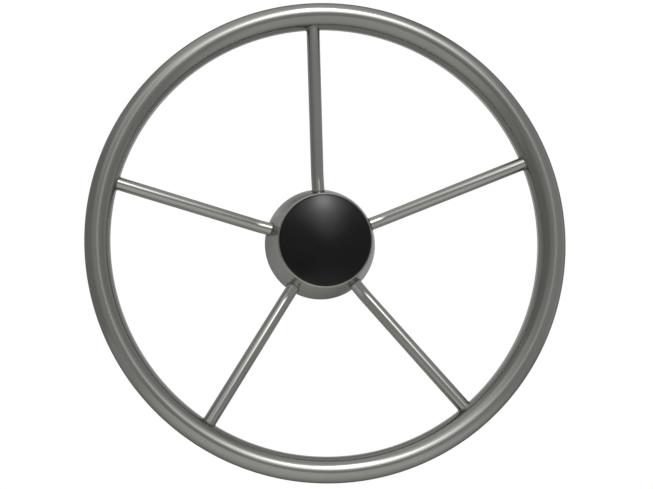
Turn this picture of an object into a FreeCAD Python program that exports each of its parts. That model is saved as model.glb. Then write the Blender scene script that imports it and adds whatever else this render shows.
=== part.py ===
# Five-spoke stainless boat steering wheel for a 3/4 inch tapered helm shaft.
# Millimetres. The wheel stands upright: it turns about Y, the driver is on the
# -Y side, and the first spoke points up, along +Z. The origin is on the axis, in
# the back face of the shaft boss, where the helm shaft enters.
import FreeCAD, Part
import math
import os

from FreeCAD import Vector

os.makedirs("parts", exist_ok=True)

# Rim: one tube bent into a ring and closed.
rim_outer_diameter = 394.0
rim_tube_diameter = 20.6
rim_tube_wall = 1.5

# Spokes: round bar with a short radial stub at the hub, then bent towards the driver.
spoke_count = 5
spoke_diameter = 10.8
dish_angle = 11.15
spoke_stub_length = 11.3
spoke_bend_radius = 40.0

# Hub shell: a pressed cone, narrow end to the driver, with its front lip turned in.
hub_front_radius = 39.6
hub_back_radius = 48.7
hub_depth = 26.8
hub_wall = 1.5
hub_lip_width = 4.6
hub_lip_bend_radius = 2.2
hub_edge_rounding = 0.4
spoke_seat_from_front = 18.7

# Back plate: a disc inside the wide end of the cone.
plate_thickness = 3.0
plate_recess = 2.0

# Shaft boss: turned, with a 1 in 12 taper and a square keyway.
boss_radius = 17.0
boss_length = 28.0
boss_projection = 8.4
boss_flange_radius = 22.0
boss_flange_thickness = 3.0
boss_chamfer = 0.8
shaft_diameter = 19.05
shaft_taper = 1.0 / 12.0
keyway_width = 4.76
keyway_depth = 2.4

# Welds: legs of the beads.
rim_weld_leg = 0.8
hub_weld_leg = 0.8
boss_weld_leg = 2.5
plate_weld_leg = 1.4
weld_rounding = 0.7

# Centre cap: a moulded dome that snaps behind the hub's front lip.
cap_lip_margin = 1.1
cap_edge_height = 1.7
cap_edge_rounding = 1.8
cap_dome_height = 4.4
cap_wall = 2.2
cap_skirt_wall = 1.8
cap_skirt_length = 6.0
cap_skirt_clearance = 0.2
cap_hook_width = 0.9
cap_hook_height = 2.2
cap_hook_clearance = 0.1
cap_slot_count = 6
cap_slot_width = 5.0

# Places along Y, from the origin in the boss's back face towards the driver.
rim_tube_radius = rim_tube_diameter / 2
rim_centre_radius = rim_outer_diameter / 2 - rim_tube_radius
spoke_radius = spoke_diameter / 2
dish = math.radians(dish_angle)
hub_slope = (hub_back_radius - hub_front_radius) / hub_depth
hub_wall_across = hub_wall * math.hypot(1.0, hub_slope)
hub_back_y = -boss_projection
hub_front_y = hub_back_y - hub_depth
spoke_seat_y = hub_front_y + spoke_seat_from_front
bend_corner_radius = hub_front_radius + hub_slope * spoke_seat_from_front + spoke_stub_length
rim_plane_y = spoke_seat_y - (rim_centre_radius - bend_corner_radius) * math.tan(dish)
plate_back_y = hub_back_y - plate_recess
plate_front_y = plate_back_y - plate_thickness
mouth_radius = hub_front_radius - hub_lip_width - hub_wall

AXIS = Vector(0, 1, 0)
UP = Vector(0, 0, 1)
RUN = Vector(0, -math.sin(dish), math.cos(dish))
CENTRE = Vector(0, 0, 0)


def shell_outer(y):
    """Radius of the hub cone's outside at y."""
    return hub_front_radius + hub_slope * (y - hub_front_y)


def shell_inner(y):
    """Radius of the hub cone's inside at y."""
    return shell_outer(y) - hub_wall_across


def turned(outline):
    """Solid of revolution about Y of a closed outline of (radius, y) points and ready edges."""
    edges = []
    for first, second in zip(outline, outline[1:] + outline[:1]):
        if not isinstance(first, tuple) or not isinstance(second, tuple):
            continue
        edges.append(Part.makeLine(Vector(first[0], first[1], 0), Vector(second[0], second[1], 0)))
    edges += [item for item in outline if not isinstance(item, tuple)]
    face = Part.Face(Part.Wire(Part.__sortEdges__(edges)))
    return face.revolve(CENTRE, AXIS, 360)


def arc(start, middle, end):
    """Arc through three (radius, y) points."""
    return Part.Arc(*(Vector(r, y, 0) for r, y in (start, middle, end))).toShape()


def circle_edges(solid, radius, y):
    """Round edges of a turned solid with this radius, at this y."""
    found = []
    for edge in solid.Edges:
        if edge.Degenerated or not isinstance(edge.Curve, Part.Circle):
            continue
        if abs(edge.Curve.Radius - radius) < 0.01 and abs(edge.Curve.Center.y - y) < 0.01:
            found.append(edge)
    return found


def about_axis(shape, index):
    """Copy of a shape at spoke number index, counter-clockwise as the driver sees it."""
    copy = shape.copy()
    copy.rotate(CENTRE, AXIS, -360.0 * index / spoke_count)
    return copy


def ring(tube_radius):
    """Torus on the rim's centre line, its seam turned to lie midway between two spokes."""
    torus = Part.makeTorus(rim_centre_radius, tube_radius, Vector(0, rim_plane_y, 0), AXIS)
    torus.rotate(CENTRE, AXIS, 180.0 / spoke_count)
    return torus


def rim_tube():
    return ring(rim_tube_radius).cut(ring(rim_tube_radius - rim_tube_wall))


def hub_filled():
    """The hub cone as a solid block, with the shell's outside."""
    block = turned([(0, hub_front_y), (hub_front_radius, hub_front_y),
                    (hub_back_radius, hub_back_y), (0, hub_back_y)])
    block = block.makeFillet(hub_lip_bend_radius, circle_edges(block, hub_front_radius, hub_front_y))
    return block.makeFillet(hub_edge_rounding, circle_edges(block, hub_back_radius, hub_back_y))


def hub_shell():
    lip_back_y = hub_front_y + hub_wall
    hollow = turned([(0, lip_back_y), (shell_inner(lip_back_y), lip_back_y),
                     (shell_inner(hub_back_y), hub_back_y), (0, hub_back_y)])
    inner_bend = circle_edges(hollow, shell_inner(lip_back_y), lip_back_y)
    hollow = hollow.makeFillet(hub_lip_bend_radius - hub_wall, inner_bend)
    mouth = turned([(0, hub_front_y), (mouth_radius, hub_front_y),
                    (mouth_radius, lip_back_y), (0, lip_back_y)])
    return hub_filled().cut(hollow).cut(mouth)


def back_plate():
    return turned([(boss_radius, plate_front_y), (shell_inner(plate_front_y), plate_front_y),
                   (shell_inner(plate_back_y), plate_back_y), (boss_radius, plate_back_y)])


def plate_weld():
    """Bead in the corner between the plate's back face and the inside of the cone."""
    corner = (shell_inner(plate_back_y), plate_back_y)
    on_plate = (corner[0] - plate_weld_leg, plate_back_y)
    on_shell = (shell_inner(plate_back_y + plate_weld_leg), plate_back_y + plate_weld_leg)
    reach = plate_weld_leg * math.sqrt(0.5)
    crown = (corner[0] - reach, plate_back_y + reach)
    return turned([on_plate, corner, on_shell, arc(on_shell, crown, on_plate)])


def shaft_boss():
    front_y = -boss_length
    body = turned([(0, 0), (boss_radius - boss_chamfer, 0), (boss_radius, -boss_chamfer),
                   (boss_radius, plate_front_y), (boss_flange_radius, plate_front_y),
                   (boss_flange_radius, plate_front_y - boss_flange_thickness),
                   (boss_radius, plate_front_y - boss_flange_thickness),
                   (boss_radius, front_y + boss_chamfer), (boss_radius - boss_chamfer, front_y),
                   (0, front_y)])
    large = shaft_diameter / 2
    small = large - boss_length * shaft_taper / 2
    bore = turned([(0, 0), (large, 0), (small, front_y), (0, front_y)])
    key = Part.makeBox(keyway_width, 3 * boss_length, large + keyway_depth,
                       Vector(-keyway_width / 2, -2 * boss_length, 0))
    key.rotate(Vector(0, 0, large + keyway_depth), Vector(1, 0, 0),
               math.degrees(math.atan(shaft_taper / 2)))
    return body.cut(bore).cut(key)


def boss_weld():
    """Bead in the corner between the plate's back face and the boss."""
    on_boss = (boss_radius, plate_back_y + boss_weld_leg)
    corner = (boss_radius, plate_back_y)
    on_plate = (boss_radius + boss_weld_leg, plate_back_y)
    reach = boss_weld_leg * math.sqrt(0.5)
    crown = (boss_radius + reach, plate_back_y + reach)
    return turned([on_boss, corner, on_plate, arc(on_plate, crown, on_boss)])


def spoke_bar():
    """First spoke before coping: stub, bend and straight run, from the axis to the rim's centre."""
    tangent = spoke_bend_radius * math.tan(dish / 2)
    bend_start = Vector(0, spoke_seat_y, bend_corner_radius - tangent)
    stub = Part.makeCylinder(spoke_radius, bend_start.z, Vector(0, spoke_seat_y, 0), UP)
    section = Part.Face(Part.Wire(Part.Circle(bend_start, UP, spoke_radius).toShape()))
    bend_centre = Vector(0, spoke_seat_y - spoke_bend_radius, bend_start.z)
    bend = section.revolve(bend_centre, Vector(1, 0, 0), dish_angle)
    run_start = Vector(0, spoke_seat_y, bend_corner_radius) + RUN * tangent
    run_length = (rim_centre_radius - bend_corner_radius) / math.cos(dish) - tangent
    run = Part.makeCylinder(spoke_radius, run_length, run_start, RUN)
    return stub.fuse([bend, run]).removeSplitter()


def spoke(bar):
    """First spoke, its ends coped to the rim and to the hub cone."""
    return bar.cut(ring(rim_tube_radius)).cut(hub_filled())


def weld_bead(foot, direction, length, grown, carrier, bar, leg):
    """Rounded collar round a spoke's end, as proud of the spoke as of the carrier it meets.
    It starts at foot inside the carrier, and grown is the carrier with the leg added."""
    collar = Part.makeCylinder(spoke_radius + leg, length, foot, direction).common(grown)
    crest = [edge for edge in collar.Edges if isinstance(edge.Curve, Part.BSplineCurve)]
    return collar.makeFillet(weld_rounding * leg, crest).cut(carrier).cut(bar)


def rim_weld(bar):
    """Bead between the first spoke and the rim."""
    foot = Vector(0, rim_plane_y, rim_centre_radius)
    return weld_bead(foot, -RUN, 3 * rim_tube_radius, ring(rim_tube_radius + rim_weld_leg),
                     ring(rim_tube_radius), bar, rim_weld_leg)


def hub_weld(bar):
    """Bead between the first spoke and the hub cone."""
    across = hub_weld_leg * math.hypot(1.0, hub_slope)
    grown = turned([(0, hub_front_y), (hub_front_radius + across, hub_front_y),
                    (hub_back_radius + across, hub_back_y), (0, hub_back_y)])
    return weld_bead(Vector(0, spoke_seat_y, 0), UP, 2 * hub_back_radius, grown,
                     hub_filled(), bar, hub_weld_leg)


def centre_cap():
    """Dome with a low edge on the hub's lip, and a slotted skirt that hooks behind the lip."""
    edge_radius = hub_front_radius - cap_lip_margin
    edge_front_y = hub_front_y - cap_edge_height
    crown_y = edge_front_y - cap_dome_height
    skirt_radius = mouth_radius - cap_skirt_clearance
    hollow_radius = skirt_radius - cap_skirt_wall
    skirt_end_y = hub_front_y + cap_skirt_length
    dome_radius = (edge_radius ** 2 + cap_dome_height ** 2) / (2 * cap_dome_height)
    half_turn = math.asin(edge_radius / dome_radius) / 2
    shoulder = (dome_radius * math.sin(half_turn),
                crown_y + dome_radius * (1 - math.cos(half_turn)))
    body = turned([(0, crown_y), arc((0, crown_y), shoulder, (edge_radius, edge_front_y)),
                   (edge_radius, edge_front_y), (edge_radius, hub_front_y),
                   (skirt_radius, hub_front_y), (skirt_radius, skirt_end_y), (0, skirt_end_y)])
    body = body.makeFillet(cap_edge_rounding, circle_edges(body, edge_radius, edge_front_y))
    hollow = Part.makeSphere(dome_radius - cap_wall, Vector(0, crown_y + dome_radius, 0))
    plug = Part.makeCylinder(hollow_radius, 2 * dome_radius, Vector(0, crown_y, 0), AXIS)
    body = body.cut(hollow.common(plug))
    hook_front_y = hub_front_y + hub_wall + cap_hook_clearance
    hook_radius = mouth_radius + cap_hook_width
    hook = turned([(hollow_radius, hook_front_y), (hook_radius, hook_front_y),
                   (skirt_radius, hook_front_y + cap_hook_height),
                   (hollow_radius, hook_front_y + cap_hook_height)])
    body = body.fuse(hook).removeSplitter()
    for index in range(cap_slot_count // 2):
        slot = Part.makeBox(cap_slot_width, skirt_end_y - hub_front_y, 2 * hook_radius + 2,
                            Vector(-cap_slot_width / 2, hub_front_y, -hook_radius - 1))
        slot.rotate(CENTRE, AXIS, 360.0 * index / cap_slot_count)
        body = body.cut(slot)
    return body


def save(shape, name):
    """Writes one piece, after a test that it is one sound solid."""
    solids = shape.Solids
    if len(solids) != 1 or not solids[0].isValid():
        raise ValueError(name + " is not one sound solid")
    solids[0].exportStep("parts/" + name + ".step")


def main():
    save(rim_tube(), "rim_tube")
    save(hub_shell(), "hub_shell")
    save(back_plate(), "back_plate")
    save(plate_weld(), "plate_weld")
    save(shaft_boss(), "shaft_boss")
    save(boss_weld(), "boss_weld")
    save(centre_cap(), "centre_cap")
    bar = spoke_bar()
    per_spoke = {"spoke": spoke(bar), "rim_weld": rim_weld(bar), "hub_weld": hub_weld(bar)}
    for name, first in per_spoke.items():
        for index in range(spoke_count):
            save(about_axis(first, index), name + "_" + str(index + 1))


main()
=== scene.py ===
# %% [markdown]
# # A stainless boat steering wheel
# The real wheel is one weldment: a tube bent into a ring, five bars with a small bend
# near the hub, and a pressed cone that hides the nut of the helm shaft under a black
# cap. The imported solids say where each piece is. The cells below make a finer surface
# for each of them out of plain formulas, and then the finishes, the room and the camera.

# %% Load the frame and keep its box
import math

import bmesh
import bpy
import numpy as np
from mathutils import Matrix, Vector


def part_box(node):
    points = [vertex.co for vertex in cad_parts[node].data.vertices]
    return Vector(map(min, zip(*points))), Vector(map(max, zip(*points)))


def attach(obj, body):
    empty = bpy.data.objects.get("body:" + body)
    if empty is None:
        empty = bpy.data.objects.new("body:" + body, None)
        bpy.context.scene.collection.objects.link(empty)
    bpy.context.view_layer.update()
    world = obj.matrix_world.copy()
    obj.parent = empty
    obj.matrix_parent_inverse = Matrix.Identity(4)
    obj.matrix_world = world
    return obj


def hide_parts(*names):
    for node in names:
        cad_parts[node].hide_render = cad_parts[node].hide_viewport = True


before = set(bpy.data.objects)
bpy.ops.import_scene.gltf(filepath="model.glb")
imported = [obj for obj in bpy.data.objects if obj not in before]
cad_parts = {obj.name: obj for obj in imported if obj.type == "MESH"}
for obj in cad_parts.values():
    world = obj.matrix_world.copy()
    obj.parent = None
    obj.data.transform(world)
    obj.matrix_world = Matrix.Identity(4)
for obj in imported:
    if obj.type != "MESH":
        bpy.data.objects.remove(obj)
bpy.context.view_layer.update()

# %% [markdown]
# ## Sizes
# A maker measures a wheel by its rim, its tube, its dish and its hub. Those are the
# driving sizes here, the same as in the solids. Everything else follows from them, so
# a piece made below lies exactly where its solid lies. The wheel turns about Y, the
# driver sits on the -Y side, and the first spoke points up.

# %% Driving sizes, in metres
MM = 0.001
RIM_RADIUS = 186.7 * MM
TUBE_RADIUS = 10.3 * MM
SPOKE_COUNT = 5
SPOKE_RADIUS = 5.4 * MM
DISH = math.radians(11.15)
STUB_LENGTH = 11.3 * MM
BEND_RADIUS = 40.0 * MM
HUB_FRONT_RADIUS = 39.6 * MM
HUB_BACK_RADIUS = 48.7 * MM
HUB_DEPTH = 26.8 * MM
HUB_WALL = 1.5 * MM
SEAT_FROM_FRONT = 18.7 * MM
BOSS_RADIUS = 17.0 * MM
BOSS_LENGTH = 28.0 * MM
BOSS_PROJECTION = 8.4 * MM
PLATE_THICKNESS = 3.0 * MM
PLATE_RECESS = 2.0 * MM

HUB_BACK_Y = -BOSS_PROJECTION
HUB_FRONT_Y = HUB_BACK_Y - HUB_DEPTH
SEAT_Y = HUB_FRONT_Y + SEAT_FROM_FRONT
HUB_SLOPE = (HUB_BACK_RADIUS - HUB_FRONT_RADIUS) / HUB_DEPTH
CORNER_RADIUS = HUB_FRONT_RADIUS + HUB_SLOPE * SEAT_FROM_FRONT + STUB_LENGTH
RIM_Y = SEAT_Y - (RIM_RADIUS - CORNER_RADIUS) * math.tan(DISH)
PLATE_BACK_Y = HUB_BACK_Y - PLATE_RECESS
PLATE_FRONT_Y = PLATE_BACK_Y - PLATE_THICKNESS

low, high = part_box("rim_tube")
print("rim centre plane: %.4f here, %.4f in the frame" % (RIM_Y, (low.y + high.y) / 2))

# %% [markdown]
# ## From a grid of points to a mesh
# Most of the pieces are a point that moves with two numbers, say how far along a bar
# and how far round it. numpy works out the whole grid of points at once, and this
# helper joins neighbours into quads. It also turns the faces outwards, by the sign of
# the volume that they close, and merges the points that meet at a pole.

# %% Grid surfaces
SHARP_ANGLE = math.radians(32.0)
MERGE_DISTANCE = 1e-7


def surface(name, points, closed_rows=False, reach=None):
    """Mesh over points[row, column]. Columns always close round the piece.
    Rows close too if closed_rows is set. reach holds, for each row, its distance
    along the piece; the UV map gives that distance and the distance round, in metres."""
    rows, columns = points.shape[:2]
    last = rows if closed_rows else rows - 1
    r, c = np.meshgrid(np.arange(last), np.arange(columns), indexing="ij")
    r_next, c_next = (r + 1) % rows, (c + 1) % columns
    quads = np.stack([r * columns + c, r * columns + c_next,
                      r_next * columns + c_next, r_next * columns + c], -1).reshape(-1, 4)
    flat = points.reshape(-1, 3)
    a, b, d, e = (flat[quads[:, k]] for k in range(4))
    volume = np.einsum("ij,ij->", a, np.cross(b, d)) + np.einsum("ij,ij->", a, np.cross(d, e))
    if reach is None:
        steps = np.linalg.norm(np.diff(points.mean(axis=1), axis=0), axis=1)
        reach = np.concatenate([[0.0], np.cumsum(steps)])
    reach = np.append(reach, 2 * reach[-1] - reach[-2])
    girth = np.linalg.norm(points - np.roll(points, 1, axis=1), axis=2).sum(axis=1).max()
    round_here = np.arange(columns + 1) / columns * girth
    corner_rows = np.stack([r, r, r + 1, r + 1], -1).reshape(-1)
    corner_columns = np.stack([c, c + 1, c + 1, c], -1).reshape(-1)
    uv = np.stack([reach[corner_rows], round_here[corner_columns]], -1).reshape(-1, 4, 2)
    if volume < 0:
        quads, uv = quads[:, ::-1], uv[:, ::-1]
    mesh = bpy.data.meshes.new(name)
    mesh.vertices.add(len(flat))
    mesh.vertices.foreach_set("co", flat.ravel())
    mesh.loops.add(quads.size)
    mesh.loops.foreach_set("vertex_index", quads.ravel())
    mesh.polygons.add(len(quads))
    mesh.polygons.foreach_set("loop_start", np.arange(0, quads.size, 4))
    mesh.uv_layers.new(name="metres").data.foreach_set("uv", uv.ravel())
    mesh.update(calc_edges=True)
    return finished(name, mesh)


def finished(name, mesh):
    """Object of a mesh: points that coincide merged, smooth faces, crisp true corners."""
    work = bmesh.new()
    work.from_mesh(mesh)
    bmesh.ops.remove_doubles(work, verts=work.verts, dist=MERGE_DISTANCE)
    work.to_mesh(mesh)
    work.free()
    mesh.shade_smooth()
    mesh.set_sharp_from_angle(angle=SHARP_ANGLE)
    piece = bpy.data.objects.new(name, mesh)
    bpy.context.scene.collection.objects.link(piece)
    return piece


def turns(count):
    """count angles round a full turn, the last one a step short of the first."""
    return np.arange(count) / count * 2 * math.pi


def stack(x, y, z):
    """Points from three arrays that fit together in shape."""
    return np.stack(np.broadcast_arrays(x, y, z), -1)


print("helpers ready; corners sharper than %.0f degrees stay crisp" % math.degrees(SHARP_ANGLE))

# %% [markdown]
# ## The rim
# A torus is a circle carried round a bigger circle: step round the wheel by u and round
# the tube by v. A subdivided primitive would do, but the formula puts every point
# exactly on the solid's surface, and it says how far along the tube each point lies,
# which the polishing marks need.

# %% Rim tube
RIM_STEPS = 576
TUBE_STEPS = 56


def torus_point(u, v, tube):
    """Point at angle u round the wheel, counted from +X towards +Z, and v round the
    tube, counted from straight out towards the driver."""
    out = RIM_RADIUS + tube * np.cos(v)
    return stack(out * np.cos(u), RIM_Y - tube * np.sin(v), out * np.sin(u))


def make_rim():
    """Torus over a full turn of u and of v; reach is the way along the tube's middle."""
    u, v = turns(RIM_STEPS)[:, None], turns(TUBE_STEPS)[None, :]
    along = turns(RIM_STEPS) * RIM_RADIUS
    return surface("rim", torus_point(u, v, TUBE_RADIUS), closed_rows=True, reach=along)


rim = make_rim()
print("rim quads:", len(rim.data.polygons))

# %% [markdown]
# ## The spokes
# Each spoke is a round bar with both ends cut to fit: the inner end to the cone of the
# hub, the outer end to the tube of the rim. Boolean cuts leave ragged triangles there,
# which show as dirt in polished metal. So each line along the bar is followed to the
# place where it meets the cone or the torus. For the cone that is one square root; for
# the torus the distance is halved again and again until it is exact.

# %% Where a spoke meets its neighbours
HALVINGS = 40
RUN = np.array([0.0, -math.sin(DISH), math.cos(DISH)])
RUN_NORMAL = np.array([0.0, -math.cos(DISH), -math.sin(DISH)])
SIDE = np.array([1.0, 0.0, 0.0])
# The corner that the bend rounds off, and how far before it the bend starts.
CORNER = np.array([0.0, SEAT_Y, CORNER_RADIUS])
TANGENT = BEND_RADIUS * math.tan(DISH / 2)
# The way from that corner to the middle of the rim's tube, and to a place outside it.
RUN_LENGTH = (RIM_RADIUS - CORNER_RADIUS) / math.cos(DISH)
SEARCH_START = RUN_LENGTH - 3 * TUBE_RADIUS


def cone_radius(y):
    """Radius of the hub's outside at y."""
    return HUB_FRONT_RADIUS + HUB_SLOPE * (y - HUB_FRONT_Y)


def on_hub(radius, phi):
    """Where lines parallel to the stub, radius from its axis at angle phi, meet the cone."""
    x, y = radius * np.cos(phi), SEAT_Y - radius * np.sin(phi)
    return stack(x, y, np.sqrt(cone_radius(y) ** 2 - x ** 2))


def on_rim(radius, phi):
    """Where lines parallel to the straight run, radius from its axis, meet the torus:
    halfway between a point outside the tube and one inside it, over and over."""
    base = CORNER + radius * (np.cos(phi)[..., None] * SIDE + np.sin(phi)[..., None] * RUN_NORMAL)
    near = np.full(base.shape[:-1], SEARCH_START)
    far = np.full(base.shape[:-1], RUN_LENGTH)
    for _ in range(HALVINGS):
        middle = (near + far) / 2
        p = base + middle[..., None] * RUN
        across = np.hypot(p[..., 0], p[..., 2]) - RIM_RADIUS
        outside = np.hypot(across, p[..., 1] - RIM_Y) > TUBE_RADIUS
        near, far = np.where(outside, middle, near), np.where(outside, far, middle)
    return base + near[..., None] * RUN


print("straight run of a spoke, to the rim's middle, in mm: %.1f" % (RUN_LENGTH / MM))

# %% [markdown]
# A spoke's surface is then a list of rings. The ends are rings of growing radius on the
# hub and on the rim, so the bar is closed there by the very surface that it meets. The
# bend is rings on an arc, and the straight run goes evenly from the last ring of the
# bend to the first one on the rim.

# %% Spoke surface
SPOKE_SIDES = 48
BEND_RINGS = 14
RUN_RINGS = 30
END_RINGS = 4


def bend_ring(angle, phi):
    """Ring round the bar at this angle into the bend: its middle is on a circle of the
    bend's radius that turns towards the driver, and it stands square to that circle."""
    out = np.array([0.0, -math.cos(angle), -math.sin(angle)])
    centre = np.array([0.0, SEAT_Y - BEND_RADIUS, CORNER_RADIUS - TANGENT]) - BEND_RADIUS * out
    return centre + SPOKE_RADIUS * (np.cos(phi)[:, None] * SIDE + np.sin(phi)[:, None] * out)


def spoke_points():
    """Rows of the first spoke: hub end closed from its middle, stub, bend, run, rim end."""
    phi = turns(SPOKE_SIDES)
    shares = np.linspace(0.0, 1.0, END_RINGS)
    hub_rows = [on_hub(SPOKE_RADIUS * share, phi) for share in shares]
    bend_rows = [bend_ring(angle, phi) for angle in np.linspace(0.0, DISH, BEND_RINGS)]
    rim_rows = [on_rim(SPOKE_RADIUS * share, phi) for share in shares[::-1]]
    run = np.linspace(0.0, 1.0, RUN_RINGS)[1:-1, None, None]
    run_rows = list(bend_rows[-1] * (1 - run) + rim_rows[0] * run)
    return np.array(hub_rows + bend_rows + run_rows + rim_rows)


def about_axis(points, index):
    """Points of spoke number index, from those of the first, counter-clockwise as the
    driver sees it."""
    angle = 2 * math.pi * index / SPOKE_COUNT
    x, z = points[..., 0], points[..., 2]
    return stack(x * math.cos(angle) - z * math.sin(angle), points[..., 1],
                 x * math.sin(angle) + z * math.cos(angle))


spokes = [surface("spoke_bar_%d" % (k + 1), about_axis(spoke_points(), k))
          for k in range(SPOKE_COUNT)]
print("spoke quads:", len(spokes[0].data.polygons))

# %% [markdown]
# ## The weld beads
# Where a bar meets the hub or the rim, a small bead fills the corner. A thin torus
# round the bar would be simpler, but it would stand off both surfaces. So the bead's
# section runs from one toe on the bar to one toe on the other piece, and it follows the
# edge where the two meet. Between the toes it is a little hollow, as ground beads are.
# A torch leaves faint scales along a bead, so its width swells a little, many times
# round.

# %% Beads round the spokes' ends
BEAD_LEG = 0.8 * MM
BEAD_SIDES = 96
BEAD_STEPS = 9
# The section's power: 1 makes it flat, 2 round and less than 1 hollow.
BEAD_FULLNESS = 0.8
BEAD_SCALES = 19
BEAD_SWELL = 0.05
BEAD_LEAN = 0.6


def bead_width(phi, leg, scales):
    """Leg of a bead that swells and falls once for each scale, steeper on one side."""
    wave = np.sin(scales * phi + BEAD_LEAN * np.sin(scales * phi))
    return leg * (1 + BEAD_SWELL * wave)


def bead_points(edge, on_bar, on_carrier):
    """Sections along edge, from the bar's toe to the carrier's toe and back through the
    corner. on_bar and on_carrier lead to the toes; a point has a share of each, and the
    two shares, each raised to the section's power, add up to 1."""
    psi = np.linspace(0.0, math.pi / 2, BEAD_STEPS)
    c, s = np.cos(psi), np.sin(psi)
    size = (c ** BEAD_FULLNESS + s ** BEAD_FULLNESS) ** (-1 / BEAD_FULLNESS)
    rows = [edge + k * (a * on_bar + b * on_carrier) for k, a, b in zip(size, c, s)]
    return np.array(rows + [edge])


def hub_bead():
    """Bead round the first spoke's stub: one toe up the bar, one out along the cone."""
    phi = turns(BEAD_SIDES)
    leg = bead_width(phi, BEAD_LEG, BEAD_SCALES)
    edge = on_hub(SPOKE_RADIUS, phi)
    up = leg[:, None] * np.array([0.0, 0.0, 1.0])
    return bead_points(edge, up, on_hub(SPOKE_RADIUS + leg, phi) - edge)


def rim_bead():
    """Bead round the first spoke's outer end: one toe back along the bar, one on the tube."""
    phi = turns(BEAD_SIDES)
    leg = bead_width(phi, BEAD_LEG, BEAD_SCALES)
    edge = on_rim(np.full(phi.shape, SPOKE_RADIUS)[..., None], phi)
    on_tube = on_rim((SPOKE_RADIUS + leg)[:, None], phi) - edge
    return bead_points(edge, -leg[:, None] * RUN, on_tube)


hub_beads = [surface("hub_bead_%d" % (k + 1), about_axis(hub_bead(), k), closed_rows=True)
             for k in range(SPOKE_COUNT)]
rim_beads = [surface("rim_bead_%d" % (k + 1), about_axis(rim_bead(), k), closed_rows=True)
             for k in range(SPOKE_COUNT)]
print("bead quads:", len(hub_beads[0].data.polygons))

# %% [markdown]
# ## Turned and pressed pieces
# The hub shell, the plate, the boss and the cap are all round about the same axis. A
# lathe works the same way: an outline of corners, each with its own rounding, swept
# round the axis. The roundings are real ones; a hard corner would catch no light.

# %% Outlines and the lathe
LATHE_STEPS = 256
ARC_STEPS = 8


def rounded(corners):
    """Outline from (radius, y, rounding) corners: each corner with a rounding becomes
    an arc that is tangent to both of its sides."""
    outline = []
    for k, (r, y, rounding) in enumerate(corners):
        corner = np.array([r, y])
        if rounding == 0:
            outline.append(corner)
            continue
        before = np.array(corners[k - 1][:2]) - corner
        after = np.array(corners[(k + 1) % len(corners)][:2]) - corner
        before, after = before / np.linalg.norm(before), after / np.linalg.norm(after)
        half = math.acos(float(np.clip(before @ after, -1, 1))) / 2
        reach = rounding / math.tan(half)
        inwards = (before + after) / np.linalg.norm(before + after)
        centre = corner + inwards * rounding / math.sin(half)
        start, end = corner + before * reach - centre, corner + after * reach - centre
        share = np.linspace(0.0, 1.0, ARC_STEPS)[:, None]
        sweep = math.pi - 2 * half
        arc = (np.sin((1 - share) * sweep) * start + np.sin(share * sweep) * end) / math.sin(sweep)
        outline.extend(centre + arc)
    return np.array(outline)


def lathe(name, outline, closed=True):
    """Outline of (radius, y) points swept round Y. It closes on itself, or else it
    starts and ends on the axis."""
    angle = turns(LATHE_STEPS)[None, :]
    r, y = outline[:, :1], outline[:, 1:]
    lengths = np.linalg.norm(np.diff(outline, axis=0), axis=1)
    reach = np.concatenate([[0.0], np.cumsum(lengths)])
    points = stack(r * np.cos(angle), y, r * np.sin(angle))
    return surface(name, points, closed_rows=closed, reach=reach)


print("lathe steps:", LATHE_STEPS)

# %% [markdown]
# ## The hub shell and the plate behind it
# The shell is sheet, pressed to a cone, with its front edge turned inwards as a seat
# for the cap. Seen from behind it is closed by a plain disc, set a little inside its
# edge, so that the weld between them lies in a corner.

# %% Hub shell and back plate
LIP_WIDTH = 4.6 * MM
LIP_BEND = 2.2 * MM
SHEET_EDGE = 0.35 * MM
# The slanted wall, measured square to the axis.
WALL_ACROSS = HUB_WALL * math.hypot(1.0, HUB_SLOPE)
MOUTH_RADIUS = HUB_FRONT_RADIUS - LIP_WIDTH - HUB_WALL
LIP_BACK_Y = HUB_FRONT_Y + HUB_WALL


def cone_inside(y):
    """Radius of the hub's inside at y."""
    return cone_radius(y) - WALL_ACROSS


hub = lathe("hub_cone", rounded([
    (MOUTH_RADIUS, HUB_FRONT_Y, SHEET_EDGE),
    (HUB_FRONT_RADIUS, HUB_FRONT_Y, LIP_BEND),
    (HUB_BACK_RADIUS, HUB_BACK_Y, SHEET_EDGE),
    (cone_inside(HUB_BACK_Y), HUB_BACK_Y, SHEET_EDGE),
    (cone_inside(LIP_BACK_Y), LIP_BACK_Y, LIP_BEND - HUB_WALL),
    (MOUTH_RADIUS, LIP_BACK_Y, SHEET_EDGE)]))

plate = lathe("hub_plate", rounded([
    (BOSS_RADIUS, PLATE_FRONT_Y, 0.0),
    (cone_inside(PLATE_FRONT_Y), PLATE_FRONT_Y, 0.0),
    (cone_inside(PLATE_BACK_Y), PLATE_BACK_Y, 0.0),
    (BOSS_RADIUS, PLATE_BACK_Y, 0.0)]))
print("hub shell quads:", len(hub.data.polygons))

# %% [markdown]
# ## Welds on the back
# Two ring beads can be seen from behind: one round the boss and one where the plate
# meets the cone. They are the same bead as before, in a corner between two round
# surfaces, so only the corner's radius and the two directions out of it change.

# %% Ring beads
BOSS_BEAD_LEG = 2.5 * MM
PLATE_BEAD_LEG = 1.4 * MM
RING_STEPS = 480
RING_SCALE_PITCH = 2.6 * MM


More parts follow.
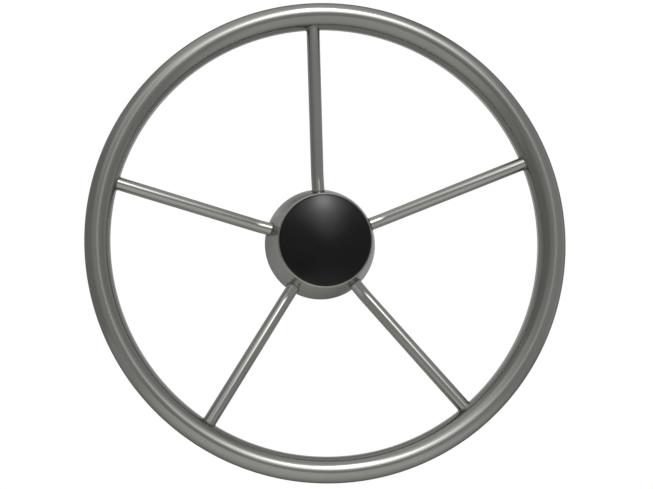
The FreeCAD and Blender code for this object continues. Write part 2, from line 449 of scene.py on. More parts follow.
def ring_bead(name, corner_radius, on_side, leg, back_slope):
    """Bead in the corner between the plate's back face and a round wall. on_side is -1
    where the bead lies inside the wall and 1 where it lies outside it."""
    theta = turns(RING_STEPS)
    scales = round(2 * math.pi * corner_radius / RING_SCALE_PITCH)
    width = bead_width(theta, leg, scales)[:, None]
    radial = stack(np.cos(theta), 0.0 * theta, np.sin(theta))
    edge = corner_radius * radial + np.array([0.0, PLATE_BACK_Y, 0.0])
    up_wall = width * (np.array([0.0, 1.0, 0.0]) + back_slope * radial)
    points = bead_points(edge, up_wall, on_side * width * radial)
    return surface(name, points, closed_rows=True)


boss_bead = ring_bead("boss_bead", BOSS_RADIUS, 1, BOSS_BEAD_LEG, 0.0)
plate_bead = ring_bead("plate_bead", cone_inside(PLATE_BACK_Y), -1, PLATE_BEAD_LEG, HUB_SLOPE)
print("scales round the boss:", round(2 * math.pi * BOSS_RADIUS / RING_SCALE_PITCH))

# %% [markdown]
# ## The boss
# The boss is turned from bar, with a taper of 1 in 12 for the helm shaft and a keyway
# cut along it. The lathe alone can't make the keyway, so the bore's outline is a loop
# of its own: round the circle, up one side of the key, across its floor and down again.
# Rows of such loops, joined to plain circles outside, close the whole piece.

# %% Shaft boss
BOSS_FLANGE_RADIUS = 22.0 * MM
BOSS_FLANGE = 3.0 * MM
BOSS_CHAMFER = 0.8 * MM
SHAFT_RADIUS = 19.05 / 2 * MM
SHAFT_TAPER = 1 / 12
KEY_WIDTH = 4.76 * MM
KEY_DEPTH = 2.4 * MM
MOUTH_CHAMFER = 0.4 * MM
TURNED_EDGE = 0.2 * MM
BORE_ARC = 192
KEY_WALL = 5
KEY_FLOOR = 9


def bore_loop(radius, floor):
    """Loop of (x, z) round the bore, clockwise from the key's floor: its floor at
    height floor, its two sides, and the circle between them."""
    half = KEY_WIDTH / 2
    foot = math.asin(half / radius)
    arc = np.linspace(foot, 2 * math.pi - foot, BORE_ARC)
    circle = np.stack([radius * np.sin(arc), radius * np.cos(arc)], -1)
    rise = np.linspace(floor, circle[0, 1], KEY_WALL)[1:-1]
    down = np.stack([np.full(len(rise), half), rise], -1)
    up = np.stack([np.full(len(rise), -half), rise[::-1]], -1)
    across = np.linspace(-half, half, KEY_FLOOR)
    top = np.stack([across, np.full(KEY_FLOOR, floor)], -1)
    return np.concatenate([top, down, circle, up])


def boss_points():
    """Rows from the bore's mouth over the back face, the outside and the front face,
    then back along the bore."""
    front_y = -BOSS_LENGTH
    small = SHAFT_RADIUS - BOSS_LENGTH * SHAFT_TAPER / 2
    outside = rounded([
        (SHAFT_RADIUS, 0.0, 0.0),
        (BOSS_RADIUS - BOSS_CHAMFER, 0.0, TURNED_EDGE), (BOSS_RADIUS, -BOSS_CHAMFER, TURNED_EDGE),
        (BOSS_RADIUS, PLATE_FRONT_Y, 0.0), (BOSS_FLANGE_RADIUS, PLATE_FRONT_Y, TURNED_EDGE),
        (BOSS_FLANGE_RADIUS, PLATE_FRONT_Y - BOSS_FLANGE, TURNED_EDGE),
        (BOSS_RADIUS, PLATE_FRONT_Y - BOSS_FLANGE, 0.0),
        (BOSS_RADIUS, front_y + BOSS_CHAMFER, TURNED_EDGE),
        (BOSS_RADIUS - BOSS_CHAMFER, front_y, TURNED_EDGE), (small, front_y, 0.0)])[1:-1]
    mouth = bore_loop(SHAFT_RADIUS + MOUTH_CHAMFER, SHAFT_RADIUS + KEY_DEPTH)
    bearing = np.arctan2(mouth[:, 0], mouth[:, 1])
    rows = [stack(mouth[:, 0], 0.0, mouth[:, 1])]
    rows += [stack(r * np.sin(bearing), y, r * np.cos(bearing)) for r, y in outside]
    ends = [(small + MOUTH_CHAMFER, front_y, small), (small, front_y + MOUTH_CHAMFER, small),
            (SHAFT_RADIUS, -MOUTH_CHAMFER, SHAFT_RADIUS)]
    for radius, y, bore in ends:
        loop = bore_loop(radius, bore + KEY_DEPTH)
        rows.append(stack(loop[:, 0], y, loop[:, 1]))
    return np.array(rows)


boss = surface("boss_turned", boss_points(), closed_rows=True)
print("boss quads:", len(boss.data.polygons))

# %% [markdown]
# ## The centre cap
# The cap is a moulding: a shallow dome with a low rounded edge that sits on the hub's
# lip, and under it a skirt in six fingers whose hooks snap behind the lip. The dome is
# part of a sphere, so its arc follows from its width and its height alone.

# %% Cap dome
CAP_MARGIN = 1.1 * MM
CAP_RADIUS = HUB_FRONT_RADIUS - CAP_MARGIN
CAP_EDGE = 1.7 * MM
CAP_EDGE_ROUNDING = 1.8 * MM
CAP_HEIGHT = 4.4 * MM
CAP_WALL = 2.2 * MM
SKIRT_GAP = 0.2 * MM
SKIRT_WALL = 1.8 * MM
SKIRT_LENGTH = 6.0 * MM
HOOK_WIDTH = 0.9 * MM
HOOK_HEIGHT = 2.2 * MM
HOOK_GAP = 0.1 * MM
DOME_STEPS = 40
EDGE_STEPS = 12
SKIRT_RADIUS = MOUTH_RADIUS - SKIRT_GAP
DOME_RADIUS = (CAP_RADIUS ** 2 + CAP_HEIGHT ** 2) / (2 * CAP_HEIGHT)
CROWN_Y = HUB_FRONT_Y - CAP_EDGE - CAP_HEIGHT


def dome_arc(radius, sphere, steps):
    """Arc of (radius, y) points from the axis out to radius, on a sphere round the
    dome's centre."""
    turn = np.linspace(0.0, math.asin(radius / sphere), steps)
    return np.stack([sphere * np.sin(turn), CROWN_Y + DOME_RADIUS - sphere * np.cos(turn)], -1)


def make_dome():
    """The dome, its rounded edge and its hollow. The rounding is a circle that touches
    the dome from inside and the edge, so both seams are smooth."""
    middle = CAP_RADIUS - CAP_EDGE_ROUNDING
    inside = DOME_RADIUS - CAP_EDGE_ROUNDING
    tilt = math.asin(middle / inside)
    depth = CROWN_Y + DOME_RADIUS - inside * math.cos(tilt)
    roof = dome_arc(DOME_RADIUS * math.sin(tilt), DOME_RADIUS, DOME_STEPS)
    turn = np.linspace(tilt, math.pi / 2, EDGE_STEPS)[1:]
    edge = np.stack([middle + CAP_EDGE_ROUNDING * np.sin(turn),
                     depth - CAP_EDGE_ROUNDING * np.cos(turn)], -1)
    seat = np.array([(CAP_RADIUS, HUB_FRONT_Y), (SKIRT_RADIUS - SKIRT_WALL, HUB_FRONT_Y)])
    hollow = dome_arc(SKIRT_RADIUS - SKIRT_WALL, DOME_RADIUS - CAP_WALL, DOME_STEPS // 2)[::-1]
    return lathe("cap_dome", np.concatenate([roof, edge, seat, hollow]), closed=False)


cap = make_dome()
print("dome radius in mm: %.1f" % (DOME_RADIUS / MM))

# %% [markdown]
# ## The cap's fingers
# The fingers are blocks swept through part of a turn. They could be cut out of one
# whole skirt, but six small sweeps need no cutting. Each one is its own closed surface
# inside the cap's mesh, and its upper end sinks into the dome.

# %% Cap fingers
FINGER_COUNT = 6
FINGER_SLOT = 5.0 * MM
FINGER_STEPS = 20


def finger_points(index):
    """One finger: its section, a wall with a hook, swept between two slots and closed
    at both ends by a row drawn together in the section's middle."""
    top = HUB_FRONT_Y - CAP_EDGE / 2
    end = HUB_FRONT_Y + SKIRT_LENGTH
    hook = LIP_BACK_Y + HOOK_GAP
    inner = SKIRT_RADIUS - SKIRT_WALL
    section = np.array([(inner, top), (SKIRT_RADIUS, top), (SKIRT_RADIUS, hook),
                        (MOUTH_RADIUS + HOOK_WIDTH, hook), (SKIRT_RADIUS, hook + HOOK_HEIGHT),
                        (SKIRT_RADIUS, end), (inner, end)])
    half = math.pi / FINGER_COUNT - FINGER_SLOT / 2 / SKIRT_RADIUS
    middle = 2 * math.pi * (index + 0.5) / FINGER_COUNT + math.pi / 2
    angles = middle + np.linspace(-half, half, FINGER_STEPS)
    shape = np.repeat(section[None], FINGER_STEPS + 2, axis=0)
    shape[0] = shape[-1] = (section.min(axis=0) + section.max(axis=0)) / 2
    angles = np.concatenate([angles[:1], angles, angles[-1:]])[:, None]
    return stack(shape[..., 0] * np.cos(angles), shape[..., 1], shape[..., 0] * np.sin(angles))


def joined(carrier, extras):
    """Carrier with the meshes of the extras added to its own."""
    work = bmesh.new()
    for piece in [carrier] + extras:
        work.from_mesh(piece.data)
    work.to_mesh(carrier.data)
    work.free()
    for piece in extras:
        bpy.data.objects.remove(piece)
    carrier.data.shade_smooth()
    carrier.data.set_sharp_from_angle(angle=SHARP_ANGLE)
    return carrier


fingers = [surface("finger_%d" % k, finger_points(k)) for k in range(FINGER_COUNT)]
cap = joined(cap, fingers)
print("cap quads:", len(cap.data.polygons))

# %% [markdown]
# ## Effects that several finishes share
# Polished steel is never quite even. Long fine lines run the way the cloth went, and hands
# and cloths leave a broad, soft haze. The third effect is painted shade: it darkens the
# colour inside a radius about the axis. A painted image could hold all that, but formulas
# stay sharp from close by and fit every piece. Each is a node group, built once: it gives
# only a mask, and each material decides what to do with it. First come a few helpers.

# %% Node helpers


def new_group(name, inputs, outputs):
    """Empty shader node group, with its input and output nodes. An input is a number,
    or a vector where its value is one; every output is a number."""
    group = bpy.data.node_groups.new(name, "ShaderNodeTree")
    for title, value in inputs.items():
        kind = "NodeSocketFloat" if isinstance(value, float) else "NodeSocketVector"
        socket = group.interface.new_socket(title, in_out="INPUT", socket_type=kind)
        socket.default_value = value
    for title in outputs:
        group.interface.new_socket(title, in_out="OUTPUT", socket_type="NodeSocketFloat")
    return group, group.nodes.new("NodeGroupInput"), group.nodes.new("NodeGroupOutput")


def put(tree, kind, **settings):
    """New node; settings are its attributes."""
    node = tree.nodes.new(kind)
    for key, value in settings.items():
        setattr(node, key, value)
    return node


def math_node(tree, operation, *operands):
    """Math node; each operand is a socket or a number."""
    node = put(tree, "ShaderNodeMath", operation=operation)
    for socket, value in zip(node.inputs, operands):
        if isinstance(value, (int, float)):
            socket.default_value = value
        else:
            tree.links.new(value, socket)
    return node.outputs[0]


def noise(tree, vector, scale, detail, roughness=0.5):
    """Noise texture on a vector; scale is a socket or a number."""
    node = put(tree, "ShaderNodeTexNoise")
    node.inputs["Detail"].default_value = detail
    node.inputs["Roughness"].default_value = roughness
    tree.links.new(vector, node.inputs["Vector"])
    if isinstance(scale, (int, float)):
        node.inputs["Scale"].default_value = scale
    else:
        tree.links.new(scale, node.inputs["Scale"])
    return node.outputs["Fac"]


def use_group(tree, group, **values):
    """Group node with its inputs set."""
    node = put(tree, "ShaderNodeGroup", node_tree=group)
    for title, value in values.items():
        node.inputs[title].default_value = value
    return node


print("node helpers ready")

# %% Polishing lines, handling haze and painted shade
LINE_STRETCH = (0.035, 1.0, 1.0)
LINE_DETAIL = 4.0
LINE_GRIT = 0.6
HAZE_DETAIL = 3.0
ACROSS_AXIS = (1.0, 0.0, 1.0)


def polish_lines():
    """Fine lines along a piece: noise on its UV map, stretched along the piece."""
    group, given, result = new_group("polish_lines", {"Fineness": 500.0}, ["Lines"])
    place = put(group, "ShaderNodeTexCoord")
    stretch = put(group, "ShaderNodeMapping")
    stretch.inputs["Scale"].default_value = LINE_STRETCH
    group.links.new(place.outputs["UV"], stretch.inputs["Vector"])
    lines = noise(group, stretch.outputs["Vector"], given.outputs["Fineness"], LINE_DETAIL,
                  LINE_GRIT)
    group.links.new(lines, result.inputs["Lines"])
    return group


def handling_haze():
    """Broad soft patches: noise on Object coordinates."""
    group, given, result = new_group("handling_haze", {"Scale": 14.0}, ["Haze"])
    place = put(group, "ShaderNodeTexCoord")
    broad = noise(group, place.outputs["Object"], given.outputs["Scale"], HAZE_DETAIL)
    group.links.new(broad, result.inputs["Haze"])
    return group


# Mask for painted shade: it darkens a colour inside a radius about the wheel's axis.
def painted_shade_inside():
    """Share inside a radius, the length of x and z together, and 1 outside it. The step
    between them is as wide as Soft, and ends at the radius."""
    sizes = {"Radius": 0.1, "Soft": 0.01, "Share": 0.5}
    group, given, result = new_group("painted_shade_inside", sizes, ["Shade"])
    flat = put(group, "ShaderNodeVectorMath", operation="MULTIPLY")
    flat.inputs[1].default_value = ACROSS_AXIS
    group.links.new(put(group, "ShaderNodeTexCoord").outputs["Object"], flat.inputs[0])
    length = put(group, "ShaderNodeVectorMath", operation="LENGTH")
    group.links.new(flat.outputs[0], length.inputs[0])
    start = math_node(group, "SUBTRACT", given.outputs["Radius"], given.outputs["Soft"])
    step = put(group, "ShaderNodeMapRange")
    group.links.new(length.outputs["Value"], step.inputs["Value"])
    group.links.new(start, step.inputs["From Min"])
    group.links.new(given.outputs["Radius"], step.inputs["From Max"])
    group.links.new(given.outputs["Share"], step.inputs["To Min"])
    group.links.new(step.outputs["Result"], result.inputs["Shade"])
    return group


LINES = polish_lines()
HAZE = handling_haze()
PAINTED_SHADE = painted_shade_inside()
print("shared effects:", LINES.name, HAZE.name, PAINTED_SHADE.name)

# %% [markdown]
# ## The steel finishes
# Stainless steel is a metal, so its colour is the tint of what it mirrors, and its look
# comes from roughness. The rim and the spokes are polished tube and bar, the hub and
# its plate are satin pressings, and the boss is as rough as the lathe left it. The beads
# are ground and stay dark and dull. One function makes all of them, because they are
# one metal: only the numbers of its polish differ.

# %% One steel, many polishes
USUAL_NOISE = (0.3, 0.7)
LINE_SHARE = 0.5
COLOUR_SPREAD = 0.07


def ranged(tree, value, low_out, high_out, span=USUAL_NOISE):
    """Value carried evenly from a span, that of a noise if none is given, to another,
    and held at its ends."""
    node = put(tree, "ShaderNodeMapRange")
    tree.links.new(value, node.inputs["Value"])
    for title, number in (("From Min", span[0]), ("From Max", span[1]),
                          ("To Min", low_out), ("To Max", high_out)):
        node.inputs[title].default_value = number
    return node.outputs["Result"]


def shaded(name):
    """New material: its node tree and its Principled shader."""
    material = bpy.data.materials.new(name)
    material.use_nodes = True
    tree = material.node_tree
    return material, tree, tree.nodes["Principled BSDF"]


def tinted(tree, fac, low_colour, high_colour):
    """Colour between two, by a mask."""
    mix = put(tree, "ShaderNodeMix", data_type="RGBA")
    tree.links.new(fac, mix.inputs["Factor"])
    mix.inputs["A"].default_value = (*low_colour, 1.0)
    mix.inputs["B"].default_value = (*high_colour, 1.0)
    return mix.outputs["Result"]


def times(colour, share):
    """Colour with each of its three parts times share."""
    return tuple(part * share for part in colour)


def steel(name, colour, edge_tint, roughness, spread, fineness, line_height, haze_scale):
    """Steel whose lines and haze together tint it a little and vary its roughness by
    spread. edge_tint is how much of the metal's gloss is left where it is seen edge on."""
    material, tree, shader = shaded(name)
    shader.inputs["Metallic"].default_value = 1.0
    shader.inputs["Specular Tint"].default_value = (*edge_tint, 1.0)
    lines = use_group(tree, LINES, Fineness=fineness)
    haze = use_group(tree, HAZE, Scale=haze_scale)
    mask = math_node(tree, "ADD", math_node(tree, "MULTIPLY", lines.outputs["Lines"], LINE_SHARE),
                     math_node(tree, "MULTIPLY", haze.outputs["Haze"], 1 - LINE_SHARE))
    dark, bright = times(colour, 1 - COLOUR_SPREAD), times(colour, 1 + COLOUR_SPREAD)
    tree.links.new(tinted(tree, ranged(tree, mask, 0.0, 1.0), dark, bright),
                   shader.inputs["Base Color"])
    tree.links.new(ranged(tree, mask, roughness - spread, roughness + spread),
                   shader.inputs["Roughness"])
    bump = put(tree, "ShaderNodeBump")
    bump.inputs["Strength"].default_value = 1.0
    bump.inputs["Distance"].default_value = line_height
    tree.links.new(lines.outputs["Lines"], bump.inputs["Height"])
    tree.links.new(bump.outputs["Normal"], shader.inputs["Normal"])
    return material


def with_painted_shade(material, radius, soft, share):
    """Finish with painted shade: its colour is darkened to a share of itself inside a radius."""
    tree = material.node_tree
    colour = tree.nodes["Principled BSDF"].inputs["Base Color"]
    shade = use_group(tree, PAINTED_SHADE, Radius=radius, Soft=soft, Share=share)
    scaled = put(tree, "ShaderNodeVectorMath", operation="SCALE")
    tree.links.new(colour.links[0].from_socket, scaled.inputs[0])
    tree.links.new(shade.outputs["Shade"], scaled.inputs["Scale"])
    tree.links.new(scaled.outputs[0], colour)
    return material


print("steel varies its colour by", COLOUR_SPREAD)

# %% [markdown]
# Two places get painted shade, darker than the rest of their piece. The inner side of the
# rim is darkened to stand for the darker reflection that it shows, and on the hub's lip a
# thin dark line round the cap stands for the cap's shadow and its dark reflection there.
# Both follow a radius about the wheel's axis, so the same group serves both.

# %% Steel finishes
MICRON = 1e-6
STEEL = (0.527, 0.524, 0.491)
SPOKE_STEEL = times(STEEL, 1.12)
HUB_STEEL = times(STEEL, 1.35)
BEAD_STEEL = times(STEEL, 0.6)
POLISHED_EDGE = (0.36, 0.36, 0.36)
SATIN_EDGE = (0.32, 0.32, 0.32)
RIM_PAINTED_SHADE_REACH = 0.25 * TUBE_RADIUS
RIM_PAINTED_SHADE_SHARE = 0.82
LIP_SHADOW_WIDTH = 0.9 * MM
LIP_SHADOW_SHARE = 0.3

# Painted shade: the rim's inner side is darkened to stand for a darker reflection.
rim_steel = with_painted_shade(
    steel("rim_polish", STEEL, POLISHED_EDGE, roughness=0.16, spread=0.03, fineness=500.0,
          line_height=0.8 * MICRON, haze_scale=14.0),
    RIM_RADIUS - RIM_PAINTED_SHADE_REACH, RIM_PAINTED_SHADE_REACH, RIM_PAINTED_SHADE_SHARE)
spoke_steel = steel("spoke_polish", SPOKE_STEEL, POLISHED_EDGE, roughness=0.14, spread=0.03,
                    fineness=600.0, line_height=0.8 * MICRON, haze_scale=18.0)
SATIN = {"roughness": 0.24, "spread": 0.02, "fineness": 500.0, "line_height": 0.6 * MICRON,
         "haze_scale": 22.0}
plate_steel = steel("plate_satin", HUB_STEEL, SATIN_EDGE, **SATIN)
# Painted shadow: a thin dark line on the hub's lip round the cap.
hub_steel = with_painted_shade(steel("hub_satin", HUB_STEEL, SATIN_EDGE, **SATIN),
                   CAP_RADIUS + LIP_SHADOW_WIDTH, LIP_SHADOW_WIDTH, LIP_SHADOW_SHARE)
turned_steel = steel("boss_turning", HUB_STEEL, POLISHED_EDGE, roughness=0.22, spread=0.04,
                     fineness=1600.0, line_height=6.0 * MICRON, haze_scale=30.0)
weld_steel = steel("bead_steel", BEAD_STEEL, POLISHED_EDGE, roughness=0.45, spread=0.04,
                   fineness=600.0, line_height=2.0 * MICRON, haze_scale=60.0)
print("steel finishes:", ", ".join(m.name for m in (rim_steel, spoke_steel, plate_steel,
                                                    hub_steel, turned_steel, weld_steel)))

# %% [markdown]
# ## The black moulding
# The cap is black plastic, nearly as dark as it can be, so what shows is its skin: a
# fine moulded grain and a slight haze from wiping, which makes it glossier in some
# places than in others. A flat black would show only the window's edge.

# %% Black moulding
BLACK = (0.0004, 0.0008, 0.0008)
BLACK_WORN = (0.0012, 0.0020, 0.0021)
CAP_IOR = 1.5
CAP_GLOSS = 0.47
CAP_ROUGHNESS = (0.17, 0.25)
CAP_HAZE_SCALE = 35.0
GRAIN_SCALE = 2400.0
GRAIN_DETAIL = 2.0
GRAIN_STRENGTH = 0.35
GRAIN_HEIGHT = 10.0 * MICRON


def cap_plastic():
    """Semi-gloss black plastic: a fine moulded grain and a slight wiped haze."""
    material, tree, shader = shaded("cap_black")
    shader.inputs["Metallic"].default_value = 0.0
    shader.inputs["IOR"].default_value = CAP_IOR
    shader.inputs["Specular IOR Level"].default_value = CAP_GLOSS
    haze = use_group(tree, HAZE, Scale=CAP_HAZE_SCALE)
    place = put(tree, "ShaderNodeTexCoord")
    grain = noise(tree, place.outputs["Object"], GRAIN_SCALE, GRAIN_DETAIL)
    tree.links.new(tinted(tree, ranged(tree, haze.outputs["Haze"], 0.0, 1.0), BLACK, BLACK_WORN),
                   shader.inputs["Base Color"])
    tree.links.new(ranged(tree, haze.outputs["Haze"], *CAP_ROUGHNESS), shader.inputs["Roughness"])
    bump = put(tree, "ShaderNodeBump")
    bump.inputs["Strength"].default_value = GRAIN_STRENGTH
    bump.inputs["Distance"].default_value = GRAIN_HEIGHT
    tree.links.new(grain, bump.inputs["Height"])
    tree.links.new(bump.outputs["Normal"], shader.inputs["Normal"])
    return material


black_plastic = cap_plastic()
print("cap finish:", black_plastic.name)

# %% [markdown]
# ## Every piece takes its finish and its place
# The solids stay in the frame for touch and weight, hidden. Each new surface takes its
# finish, hides the solids that it stands for, and moves with the wheel's one body.

# %% Dress the frame
BODY = "root"
dressed = []


def dress(piece, material, slot, *nodes):
    """Finish a piece, hide the solids that it stands for and move it with the body. slot is not
    used.
    """
    dressed.append(piece.name)
    piece.data.materials.append(material)
    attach(piece, BODY)
    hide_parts(*nodes)


dress(rim, rim_steel, "rim_steel", "rim_tube")
dress(hub, hub_steel, "hub_steel", "hub_shell")
dress(plate, plate_steel, "hub_steel", "back_plate")
dress(plate_bead, weld_steel, "weld_steel", "plate_weld")
dress(boss, turned_steel, "turned_steel", "shaft_boss")
dress(boss_bead, weld_steel, "weld_steel", "boss_weld")
dress(cap, black_plastic, "cap_plastic", "centre_cap")
for k in range(SPOKE_COUNT):
    dress(spokes[k], spoke_steel, "spoke_steel", "spoke_%d" % (k + 1))
    dress(rim_beads[k], weld_steel, "weld_steel", "rim_weld_%d" % (k + 1))
    dress(hub_beads[k], weld_steel, "weld_steel", "hub_weld_%d" % (k + 1))
print("pieces dressed:", len(dressed))

# %% [markdown]
# ## The floor
# A polished wheel shows the room more than itself. So the room is drawn with care, but
# it stays plain: a grey space, a white wall straight behind the wheel, and a pale floor
# well below it, which ends just under the photograph's frame. The steel shows a soft
# pool of light on that floor. A lamp could make it, but it would light the wheel too,
# so the pool is a faint glow that only the camera, mirrors and glass see.

# %% Floor
FLOOR_Z = -1.1
FLOOR_RADIUS = 3.6
FLOOR_MIDDLE_Y = -1.15
FLOOR_SIDES = 96
FLOOR_COLOUR = (0.61, 0.605, 0.59)
FLOOR_ROUGHNESS = 0.9
FLOOR_GLOSS = 0.1
# The pool's middle, half width and softness along each axis, in metres.
POOL = {"X": (0.03, 1.3, 1.17), "Y": (-1.98, 1.7, 1.17)}
POOL_GLOW = 0.208


def seen_rays(tree):
    """1 for rays from the camera, in a mirror or through glass, 0 for light that only falls."""
    path = put(tree, "ShaderNodeLightPath")
    seen = math_node(tree, "MAXIMUM", path.outputs["Is Camera Ray"], path.outputs["Is Glossy Ray"])
    return math_node(tree, "MAXIMUM", seen, path.outputs["Is Transmission Ray"])


def band(tree, value, middle, half, soft):
    """1 within half of the middle, 0 outside it, with a soft edge."""
    off = math_node(tree, "ABSOLUTE", math_node(tree, "SUBTRACT", value, middle))
    return ranged(tree, off, 1.0, 0.0, (half - soft / 2, half + soft / 2))


def make_floor():
    """Round pale floor with the pool of light on it."""
    angle = turns(FLOOR_SIDES)
    edge = stack(FLOOR_RADIUS * np.cos(angle), FLOOR_MIDDLE_Y + FLOOR_RADIUS * np.sin(angle),
                 FLOOR_Z)
    mesh = bpy.data.meshes.new("floor")
    mesh.from_pydata(edge.tolist(), [], [tuple(range(FLOOR_SIDES))])
    floor = bpy.data.objects.new("floor", mesh)
    bpy.context.scene.collection.objects.link(floor)
    material, tree, shader = shaded("floor_pale")
    shader.inputs["Base Color"].default_value = (*FLOOR_COLOUR, 1.0)
    shader.inputs["Roughness"].default_value = FLOOR_ROUGHNESS
    shader.inputs["Specular IOR Level"].default_value = FLOOR_GLOSS
    shader.inputs["Emission Color"].default_value = (1.0, 1.0, 1.0, 1.0)
    place = put(tree, "ShaderNodeTexCoord")
    split = put(tree, "ShaderNodeSeparateXYZ")
    tree.links.new(place.outputs["Object"], split.inputs["Vector"])
    pool = math_node(tree, "MULTIPLY", band(tree, split.outputs["X"], *POOL["X"]),
                     band(tree, split.outputs["Y"], *POOL["Y"]))
    glow = math_node(tree, "MULTIPLY", pool, POOL_GLOW)
    tree.links.new(math_node(tree, "MULTIPLY", seen_rays(tree), glow),
                   shader.inputs["Emission Strength"])
    mesh.materials.append(material)


make_floor()
print("floor at", FLOOR_Z)

# %% [markdown]
# ## Openings in the world
# The photograph's long bright lines come from one tall bright opening, above and in
# front of the wheel. Far away, such an opening is only a direction in the room, so it
# is drawn into the world: two numbers say how far a direction lies to the side of the
# opening's middle and above it, and a soft step closes it on every side. A lamp object
# would need to be metres wide for the same line.

# %% Soft opening in the world
AHEAD_LEAST = 0.05


def axes_of(side, height):
    """Unit vectors towards a direction, to its right and above it. side and height are
    in degrees, from straight in front of the wheel towards +X and upwards."""
    side, height = math.radians(side), math.radians(height)
    towards = Vector((math.sin(side) * math.cos(height), -math.cos(side) * math.cos(height),
                      math.sin(height)))
    across = Vector((math.cos(side), math.sin(side), 0.0))
    return {"Towards": towards, "Across": across, "Upwards": towards.cross(across)}


def dot_node(tree, first, second):
    """Dot product of two vector sockets."""
    node = put(tree, "ShaderNodeVectorMath", operation="DOT_PRODUCT")
    tree.links.new(first, node.inputs[0])
    tree.links.new(second, node.inputs[1])
    return node.outputs["Value"]


def soft_opening():
    """Mask of an opening in the world: a trapezium about a direction, with soft edges.
    Half Width, Half Height and the softness of each are slopes seen from the middle;
    Widening and Brighter Up are what the half width and the mask gain with height."""
    sizes = {"Half Width": 0.2, "Widening": 0.0, "Half Height": 0.2, "Side Softness": 0.1,
             "End Softness": 0.1, "Brighter Up": 0.0}
    group, given, result = new_group("soft_opening", {**axes_of(0, 0), **sizes}, ["Mask"])
    ray = put(group, "ShaderNodeTexCoord").outputs["Generated"]
    ahead = dot_node(group, ray, given.outputs["Towards"])
    divisor = math_node(group, "MAXIMUM", ahead, AHEAD_LEAST)
    x, y = (math_node(group, "DIVIDE", dot_node(group, ray, given.outputs[axis]), divisor)
            for axis in ("Across", "Upwards"))
    half = math_node(group, "ADD", given.outputs["Half Width"],
                     math_node(group, "MULTIPLY", y, given.outputs["Widening"]))
    climb = math_node(group, "MULTIPLY", y, given.outputs["Brighter Up"])
    in_front = math_node(group, "GREATER_THAN", ahead, AHEAD_LEAST)
    mask = math_node(group, "MULTIPLY", in_front, math_node(group, "ADD", climb, 1.0))
    for limit, distance, softness in ((half, x, "Side Softness"),
                                      (given.outputs["Half Height"], y, "End Softness")):
        inside = math_node(group, "SUBTRACT", limit, math_node(group, "ABSOLUTE", distance))
        inside = math_node(group, "DIVIDE", inside, given.outputs[softness])
        share = math_node(group, "ADD", inside, 0.5)
        step = put(group, "ShaderNodeMapRange", interpolation_type="SMOOTHSTEP")
        group.links.new(share, step.inputs["Value"])
        mask = math_node(group, "MULTIPLY", mask, step.outputs["Result"])
    group.links.new(mask, result.inputs["Mask"])
    return group


OPENING = soft_opening()
print("world effect:", OPENING.name)

# %% [markdown]
# ## The room
# The room is grey, with what the steel shows of it added: a window that widens and
# brightens upwards, the bright sky at its top, and a broad glow round them; a paler
# ceiling, right side and back; and two darker places with a gain below zero. The white
# wall behind the wheel covers all that with a plain strength of 1. Only the camera,
# mirrors and glass see it: the steel shows its image, and it lights nothing.

# %% The room's world
ROOM_GREY = 0.277
# The wall's middle and half size along X and Z, one metre behind the wheel.
WALL_MIDDLE = (0.21, 0.13)
WALL_HALF = (0.64, 0.49)
WALL_SOFT = 0.03
# Each opening: its gain, its side and height in degrees, and its sizes as slopes.
OPENINGS = {
    "window": (2.27, 11.8, 21.7, {"Half Width": 0.08, "Widening": 0.41, "Half Height": 0.22,
               "Side Softness": 0.47, "End Softness": 0.3, "Brighter Up": 1.8}),
    "sky": (8.08, 13.0, 40.6, {"Half Width": 0.03, "Widening": -0.27, "Half Height": 0.195,
            "Side Softness": 0.18, "End Softness": 0.12}),
    "glow": (1.0, 4.1, 43.7, {"Half Width": 0.45, "Half Height": 0.1, "Side Softness": 1.2,
             "End Softness": 1.0}),
    "ceiling": (0.22, 0.0, 90.0, {"Half Width": 0.5, "Half Height": 0.5,
                "Side Softness": 0.5, "End Softness": 0.5}),
    "dim side": (-0.077, -74.5, -17.0, {"Half Width": 0.8, "Half Height": 1.5,
                 "Side Softness": 0.65, "End Softness": 0.65}),
    "right side": (0.085, 98.0, 0.0, {"Half Width": 0.4, "Half Height": 1.2,
                   "Side Softness": 0.4, "End Softness": 0.6}),
    "back": (0.023, 180.0, 0.0, {"Half Width": 3.0, "Half Height": 3.0,
             "Side Softness": 2.0, "End Softness": 2.0}),
    "high back": (0.108, -148.0, 36.0, {"Half Width": 0.35, "Half Height": 0.3,
                  "Side Softness": 0.4, "End Softness": 0.4}),
    "far side": (0.046, 140.0, 24.0, {"Half Width": 0.62, "Half Height": 0.38,
                 "Side Softness": 0.27, "End Softness": 0.27}),
    "dim middle": (-0.108, -7.2, -13.0, {"Half Width": 0.08, "Half Height": 0.16,
                   "Side Softness": 0.16, "End Softness": 0.2})}


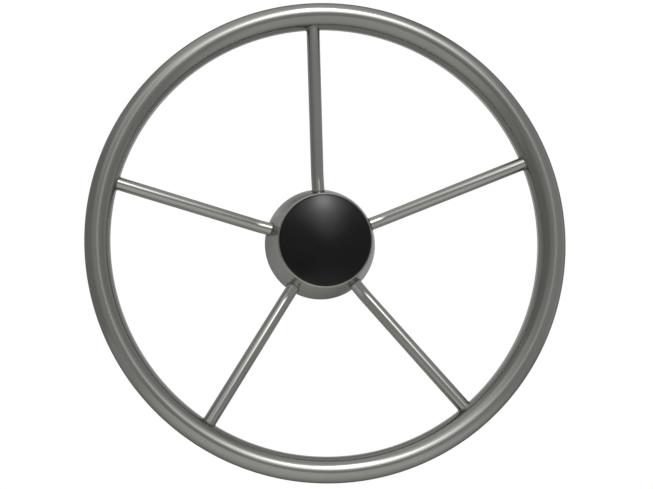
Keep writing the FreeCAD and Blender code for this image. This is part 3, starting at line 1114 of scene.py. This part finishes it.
def make_room():
    """World: the grey room with its openings added, and the white wall over it."""
    world = bpy.data.worlds.new("room")
    bpy.context.scene.world = world
    world.use_nodes = True
    tree = world.node_tree
    split = put(tree, "ShaderNodeSeparateXYZ")
    tree.links.new(put(tree, "ShaderNodeTexCoord").outputs["Generated"], split.inputs["Vector"])
    depth = math_node(tree, "MAXIMUM", split.outputs["Y"], AHEAD_LEAST)
    wall = math_node(tree, "GREATER_THAN", split.outputs["Y"], AHEAD_LEAST)
    wall = math_node(tree, "MULTIPLY", wall, seen_rays(tree))
    for axis, middle, half in zip("XZ", WALL_MIDDLE, WALL_HALF):
        slope = math_node(tree, "DIVIDE", split.outputs[axis], depth)
        wall = math_node(tree, "MULTIPLY", wall, band(tree, slope, middle, half, WALL_SOFT))
    strength = ROOM_GREY
    for gain, side, height, sizes in OPENINGS.values():
        mask = use_group(tree, OPENING, **axes_of(side, height), **sizes).outputs["Mask"]
        strength = math_node(tree, "ADD", math_node(tree, "MULTIPLY", mask, gain), strength)
    covered = put(tree, "ShaderNodeMix", data_type="FLOAT")
    covered.inputs["B"].default_value = 1.0
    tree.links.new(wall, covered.inputs["Factor"])
    tree.links.new(strength, covered.inputs["A"])
    background = tree.nodes["Background"]
    background.inputs["Color"].default_value = (1.0, 1.0, 1.0, 1.0)
    tree.links.new(covered.outputs["Result"], background.inputs["Strength"])


make_room()
print("openings:", ", ".join(OPENINGS))

# %% [markdown]
# ## The camera
# The photograph was taken from close by, a little to the left of the wheel's axis and
# below it, and then cut, so its middle isn't where the lens pointed: the shift says by
# how much. Aiming a camera by eye would never match, so all its numbers were found at
# once, by fitting the outlines of the rim, the spokes and the hub to the picture.

# %% Camera
PHOTO_WIDTH, PHOTO_HEIGHT = 653, 489
FOCAL_PIXELS = 563.75
AXIS_PIXEL = (241.38, 292.54)
CAMERA_PLACE = (-86.08 * MM, -498.94 * MM, -63.09 * MM)
CAMERA_TURN = tuple(math.radians(a) for a in (92.864, 3.199, -1.560))
SENSOR_WIDTH = 36.0
CLIP_START = 0.02


def make_camera():
    """Camera whose focal length and shift are given in the photograph's pixels."""
    data = bpy.data.cameras.new("camera")
    data.sensor_fit = "HORIZONTAL"
    data.sensor_width = SENSOR_WIDTH
    data.lens = data.sensor_width * FOCAL_PIXELS / PHOTO_WIDTH
    data.shift_x = (PHOTO_WIDTH / 2 - AXIS_PIXEL[0]) / PHOTO_WIDTH
    data.shift_y = (AXIS_PIXEL[1] - PHOTO_HEIGHT / 2) / PHOTO_WIDTH
    data.clip_start = CLIP_START
    camera = bpy.data.objects.new("camera", data)
    camera.location = CAMERA_PLACE
    camera.rotation_euler = CAMERA_TURN
    bpy.context.scene.collection.objects.link(camera)
    bpy.context.scene.camera = camera
    bpy.context.scene.view_settings.view_transform = "Standard"
    return camera


camera = make_camera()
optics = camera.data
print("lens: %.1f mm, shift %.3f, %.3f" % (optics.lens, optics.shift_x, optics.shift_y))
